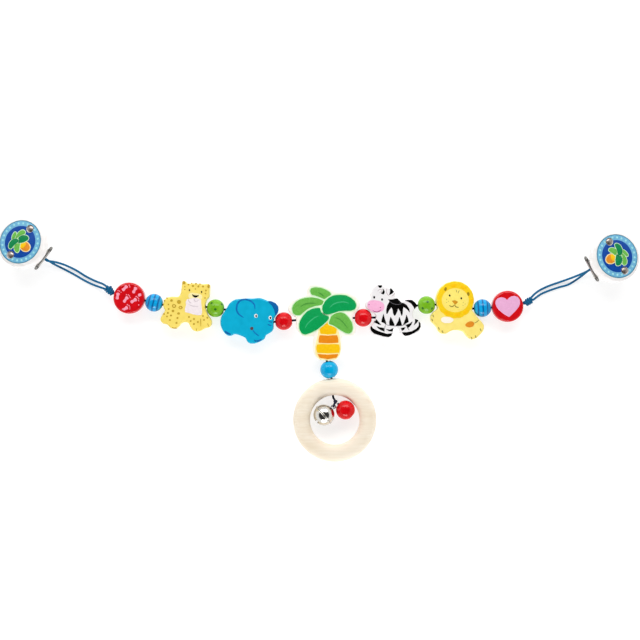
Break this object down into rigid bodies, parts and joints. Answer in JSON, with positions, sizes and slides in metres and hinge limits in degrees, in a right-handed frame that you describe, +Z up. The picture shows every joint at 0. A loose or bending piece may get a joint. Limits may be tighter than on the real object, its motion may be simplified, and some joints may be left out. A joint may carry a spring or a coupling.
{
  "type": "pram chain toy",
  "caption": "Pram chain of flat wooden animals, a palm tree and round beads on a cord, with a ring, bell and bead below and a disc clip at each end.",
  "frame": {"origin": "on the palm tree's flat back, at the middle of its width, right below its bore across", "axes": "+X along the chain to the clip beside the heart disc, +Y towards the palm's leaves, +Z up from the table to the printed faces"},
  "size_m": [0.511, 0.1947, 0.0282],
  "materials": {
    "bare_wood": "plain sanded wood, thin clear coat",
    "white_lacquer": "white lacquer with printed face",
    "cream_wood": "cream lacquer with printed face",
    "yellow_lacquer": "yellow lacquer with printed face",
    "sky_lacquer": "gloss sky blue lacquer",
    "green_lacquer": "gloss green lacquer",
    "red_lacquer": "gloss red lacquer",
    "black_cord": "braided dark cord",
    "blue_cord": "braided blue cord",
    "nickel": "bright nickel plate",
    "steel": "plated sheet and wire",
    "clear_plastic": "milky clear"
  },
  "bodies": {
    "palm": {"palm": "cream_wood", "palm_cord": "black_cord"},
    "link_palm_zebra": {"cord_palm_zebra": "black_cord"},
    "red_bead_right": {"red_bead_right": "red_lacquer"},
    "zebra": {"zebra": "white_lacquer", "zebra_cord": "black_cord"},
    "link_zebra_lion": {"cord_zebra_lion": "black_cord"},
    "green_bead_right": {"green_bead_right": "green_lacquer"},
    "lion": {"lion": "yellow_lacquer", "lion_cord": "black_cord"},
    "link_lion_heart": {"cord_lion_heart": "black_cord"},
    "striped_bead_right": {"striped_bead_right": "sky_lacquer"},
    "heart_disc": {"heart_disc": "red_lacquer", "heart_disc_cord": "black_cord"},
    "loop_right": {"loop_knot_right": "blue_cord", "loop_cord_right": "blue_cord"},
    "bail_right": {"bail_right": "steel"},
    "clip_right": {"clip_disc_right": "white_lacquer", "clip_rivet_a_right": "steel", "clip_rivet_b_right": "steel", "clip_plate_right": "steel", "clip_pin_right": "steel"},
    "lever_right": {"clip_lever_right": "steel"},
    "jaw_right": {"clip_jaw_right": "steel", "clip_pad_right": "clear_plastic"},
    "link_palm_elephant": {"cord_palm_elephant": "black_cord"},
    "red_bead_left": {"red_bead_left": "red_lacquer"},
    "elephant": {"elephant": "sky_lacquer", "elephant_cord": "black_cord"},
    "link_elephant_leopard": {"cord_elephant_leopard": "black_cord"},
    "green_bead_left": {"green_bead_left": "green_lacquer"},
    "leopard": {"leopard": "yellow_lacquer", "leopard_cord": "black_cord"},
    "link_leopard_footprint": {"cord_leopard_footprint": "black_cord"},
    "striped_bead_left": {"striped_bead_left": "sky_lacquer"},
    "footprint_disc": {"footprint_disc": "red_lacquer", "footprint_disc_cord": "black_cord"},
    "loop_left": {"loop_knot_left": "blue_cord", "loop_cord_left": "blue_cord"},
    "bail_left": {"bail_left": "steel"},
    "clip_left": {"clip_disc_left": "white_lacquer", "clip_rivet_a_left": "steel", "clip_rivet_b_left": "steel", "clip_plate_left": "steel", "clip_pin_left": "steel"},
    "lever_left": {"clip_lever_left": "steel"},
    "jaw_left": {"clip_jaw_left": "steel", "clip_pad_left": "clear_plastic"},
    "pendant_link": {"cord_palm_ring": "black_cord"},
    "blue_bead": {"blue_bead": "sky_lacquer"},
    "ring": {"ring": "bare_wood", "ring_cord": "black_cord"},
    "tail": {"tail_knot": "black_cord", "ring_bead_cord": "black_cord", "bell_cord": "black_cord"},
    "bell": {"bell_upper_shell": "nickel", "bell_lower_shell": "nickel", "bell_eye": "nickel", "bell_pellet": "steel"},
    "ring_bead": {"ring_bead": "red_lacquer"}
  },
  "joints": [
    {"name": "clip_left_hinge", "type": "hinge", "parent": "bail_left", "child": "clip_left", "pos_m": [-0.22437, 0.0487, 0.0156], "axis": [0.6018, 0.7986, 0], "range_deg": [-20, 100]},
    {"name": "clip_right_hinge", "type": "hinge", "parent": "bail_right", "child": "clip_right", "pos_m": [0.21407, 0.04013, 0.0156], "axis": [0.4695, -0.8829, 0], "range_deg": [-20, 100]},
    {"name": "lever_left_pivot", "type": "hinge", "parent": "clip_left", "child": "lever_left", "pos_m": [-0.24427, 0.06369, 0.00268], "axis": [0.6018, 0.7986, 0], "range_deg": [0, 85]},
    {"name": "lever_right_pivot", "type": "hinge", "parent": "clip_right", "child": "lever_right", "pos_m": [0.23606, 0.05183, 0.00268], "axis": [0.4695, -0.8829, 0], "range_deg": [0, 85]},
    {"name": "jaw_left_pivot", "type": "hinge", "parent": "clip_left", "child": "jaw_left", "pos_m": [-0.23571, 0.05724, 0.01211], "axis": [0.6018, 0.7986, 0], "range_deg": [-5, 0]},
    {"name": "jaw_right_pivot", "type": "hinge", "parent": "clip_right", "child": "jaw_right", "pos_m": [0.2266, 0.04679, 0.01211], "axis": [0.4695, -0.8829, 0], "range_deg": [-5, 0]},
    {"name": "bail_left_swivel", "type": "hinge", "parent": "loop_left", "child": "bail_left", "pos_m": [-0.22437, 0.0487, 0.0156], "axis": [0, 0, 1], "range_deg": [-15, 15]},
    {"name": "bail_right_swivel", "type": "hinge", "parent": "loop_right", "child": "bail_right", "pos_m": [0.21407, 0.04013, 0.0156], "axis": [0, 0, 1], "range_deg": [-15, 15]},
    {"name": "loop_left_turn", "type": "hinge", "parent": "footprint_disc", "child": "loop_left", "pos_m": [-0.1686, 0.01876, 0.006], "axis": [0, 0, 1], "range_deg": [-10, 12]},
    {"name": "loop_right_turn", "type": "hinge", "parent": "heart_disc", "child": "loop_right", "pos_m": [0.15964, 0.01119, 0.006], "axis": [0, 0, 1], "range_deg": [-12, 12]},
    {"name": "pendant_link_turn", "type": "hinge", "parent": "palm", "child": "pendant_link", "pos_m": [0.00225, -0.0335, 0.00665], "axis": [0, 0, 1], "range_deg": [-8, 8]},
    {"name": "ring_turn", "type": "hinge", "parent": "pendant_link", "child": "ring", "pos_m": [0.00604, -0.04766, 0.0068], "axis": [0, 0, 1], "range_deg": [-6, 8]},
    {"name": "tail_turn", "type": "hinge", "parent": "ring", "child": "tail", "pos_m": [0.00711, -0.06122, 0.00665], "axis": [0, 0, 1], "range_deg": [-2, 0.5]},
    {"name": "bell_turn", "type": "hinge", "parent": "tail", "child": "bell", "pos_m": [0.00761, -0.07022, 0.00935], "axis": [0, 0, 1], "range_deg": [-4, 8]},
    {"name": "ring_bead_spin", "type": "hinge", "parent": "tail", "child": "ring_bead", "pos_m": [0.01718, -0.07294, 0.0077], "axis": [-0.766, 0.6428, 0], "continuous": true},
    {"name": "link_palm_zebra_turn", "type": "hinge", "parent": "palm", "child": "link_palm_zebra", "pos_m": [0.02269, 0.00087, 0.00665], "axis": [0, 0, 1], "range_deg": [-6, 3]},
    {"name": "zebra_turn", "type": "hinge", "parent": "link_palm_zebra", "child": "zebra", "pos_m": [0.04176, 0.00127, 0.006], "axis": [0, 0, 1], "range_deg": [-6, 2]},
    {"name": "link_zebra_lion_turn", "type": "hinge", "parent": "zebra", "child": "link_zebra_lion", "pos_m": [0.07408, 0.01085, 0.00665], "axis": [0, 0, 1], "range_deg": [-8, 8]},
    {"name": "lion_turn", "type": "hinge", "parent": "link_zebra_lion", "child": "lion", "pos_m": [0.09012, 0.01167, 0.006], "axis": [0, 0, 1], "range_deg": [-4, 8]},
    {"name": "link_lion_heart_turn", "type": "hinge", "parent": "lion", "child": "link_lion_heart", "pos_m": [0.11927, 0.0084, 0.00665], "axis": [0, 0, 1], "range_deg": [-5, 8]},
    {"name": "heart_disc_turn", "type": "hinge", "parent": "link_lion_heart", "child": "heart_disc", "pos_m": [0.13471, 0.00927, 0.006], "axis": [0, 0, 1], "range_deg": [-12, 12]},
    {"name": "link_palm_elephant_turn", "type": "hinge", "parent": "palm", "child": "link_palm_elephant", "pos_m": [-0.02218, -0.00085, 0.00665], "axis": [0, 0, 1], "range_deg": [-4, 8]},
    {"name": "elephant_turn", "type": "hinge", "parent": "link_palm_elephant", "child": "elephant", "pos_m": [-0.04048, -0.00229, 0.006], "axis": [0, 0, 1], "range_deg": [-3, 8]},
    {"name": "link_elephant_leopard_turn", "type": "hinge", "parent": "elephant", "child": "link_elephant_leopard", "pos_m": [-0.07925, 0.00762, 0.00665], "axis": [0, 0, 1], "range_deg": [-8, 4]},
    {"name": "leopard_turn", "type": "hinge", "parent": "link_elephant_leopard", "child": "leopard", "pos_m": [-0.09506, 0.00985, 0.006], "axis": [0, 0, 1], "range_deg": [-8, 5]},
    {"name": "link_leopard_footprint_turn", "type": "hinge", "parent": "leopard", "child": "link_leopard_footprint", "pos_m": [-0.12876, 0.0113, 0.00665], "axis": [0, 0, 1], "range_deg": [-8, 8]},
    {"name": "footprint_disc_turn", "type": "hinge", "parent": "link_leopard_footprint", "child": "footprint_disc", "pos_m": [-0.14389, 0.01494, 0.006], "axis": [0, 0, 1], "range_deg": [-12, 12]},
    {"name": "red_bead_right_spin", "type": "hinge", "parent": "link_palm_zebra", "child": "red_bead_right", "pos_m": [0.03148, 0.00106, 0.0073], "axis": [0.9998, 0.0209, 0], "continuous": true},
    {"name": "green_bead_right_spin", "type": "hinge", "parent": "link_zebra_lion", "child": "green_bead_right", "pos_m": [0.08225, 0.01127, 0.0073], "axis": [0.9987, 0.0506, 0], "continuous": true},
    {"name": "striped_bead_right_spin", "type": "hinge", "parent": "link_lion_heart", "child": "striped_bead_right", "pos_m": [0.12714, 0.00885, 0.0073], "axis": [0.9984, 0.0558, 0], "continuous": true},
    {"name": "red_bead_left_spin", "type": "hinge", "parent": "link_palm_elephant", "child": "red_bead_left", "pos_m": [-0.03233, -0.00165, 0.0073], "axis": [-0.9969, -0.0785, 0], "continuous": true},
    {"name": "green_bead_left_spin", "type": "hinge", "parent": "link_elephant_leopard", "child": "green_bead_left", "pos_m": [-0.08705, 0.00872, 0.0073], "axis": [-0.9903, 0.1392, 0], "continuous": true},
    {"name": "striped_bead_left_spin", "type": "hinge", "parent": "link_leopard_footprint", "child": "striped_bead_left", "pos_m": [-0.13642, 0.01314, 0.0073], "axis": [-0.9724, 0.2334, 0], "continuous": true},
    {"name": "blue_bead_spin", "type": "hinge", "parent": "pendant_link", "child": "blue_bead", "pos_m": [0.00413, -0.04054, 0.0073], "axis": [0.2588, -0.9659, 0], "continuous": true}
  ],
  "couplings": [
    {"joint": "jaw_right_pivot", "follows": "lever_right_pivot", "ratio": -0.045},
    {"joint": "jaw_left_pivot", "follows": "lever_left_pivot", "ratio": -0.045}
  ]
}
